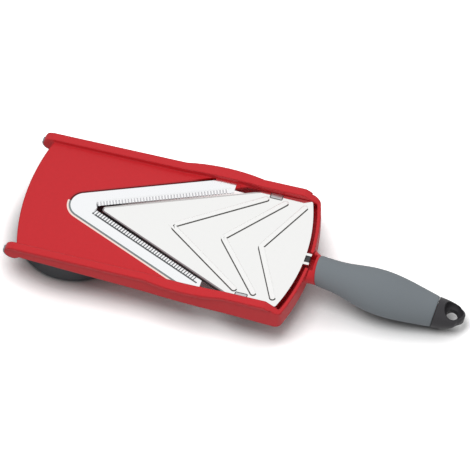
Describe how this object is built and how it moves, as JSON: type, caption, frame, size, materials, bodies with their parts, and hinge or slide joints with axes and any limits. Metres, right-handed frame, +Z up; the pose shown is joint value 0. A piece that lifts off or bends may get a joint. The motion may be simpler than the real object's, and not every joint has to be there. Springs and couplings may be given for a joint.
{
  "type": "handheld v-blade mandoline slicer",
  "caption": "Handheld food slicer with a V-shaped serrated blade between raised rails, a sliding steel plate set by a dial underneath and a soft grip with a hanging hole.",
  "frame": {"origin": "on the table under the dial's axis, in the middle of the dial's soft pad", "axes": "+X towards the handle's end, +Y to the user's right with the handle in hand, +Z up out of the deck"},
  "size_m": [0.4068, 0.141, 0.056],
  "materials": {
    "frame_red": "satin moulded plastic",
    "grip_grey": "soft matt overmould",
    "cap_dark": "satin",
    "foot_grey": "soft matt",
    "blade_steel": "ground and lapped",
    "plate_steel": "polished",
    "carrier_black": "satin",
    "dial_dark": "satin",
    "pad_rubber": "soft matt",
    "bush_white": "natural acetal",
    "fastener_steel": "bright",
    "insert_brass": "turned"
  },
  "bodies": {
    "frame": {"frame": "frame_red", "grip": "grip_grey", "end_cap": "cap_dark", "front_foot_left": "foot_grey", "front_foot_right": "foot_grey", "v_blade": "blade_steel", "blade_studs": "fastener_steel", "blade_nuts": "fastener_steel", "dial_axle": "fastener_steel", "dial_washer": "fastener_steel", "axle_insert": "insert_brass", "detent_plunger": "bush_white", "detent_ball": "fastener_steel"},
    "dial": {"dial_knob": "dial_dark", "dial_foot_pad": "pad_rubber", "dial_bush": "bush_white"},
    "plate": {"slicing_plate": "plate_steel", "plate_carrier": "carrier_black", "guide_lug_left": "plate_steel", "guide_lug_right": "plate_steel", "drive_pin": "fastener_steel"},
    "catch": {"plate_catch": "carrier_black"}
  },
  "joints": [
    {"name": "dial_turn", "type": "hinge", "parent": "frame", "child": "dial", "pos_m": [0, 0, 0], "axis": [0, 0, 1], "range_deg": [0, 300]},
    {"name": "plate_shift", "type": "slide", "parent": "frame", "child": "plate", "axis": [0.3714, 0, -0.9285], "range_m": [0, 0.00539]},
    {"name": "catch_slide", "type": "slide", "parent": "plate", "child": "catch", "axis": [1, 0, 0], "range_m": [0, 0.0015]}
  ],
  "couplings": [
    {"joint": "plate_shift", "follows": "dial_turn", "m_per_rad": 0.0010285}
  ]
}
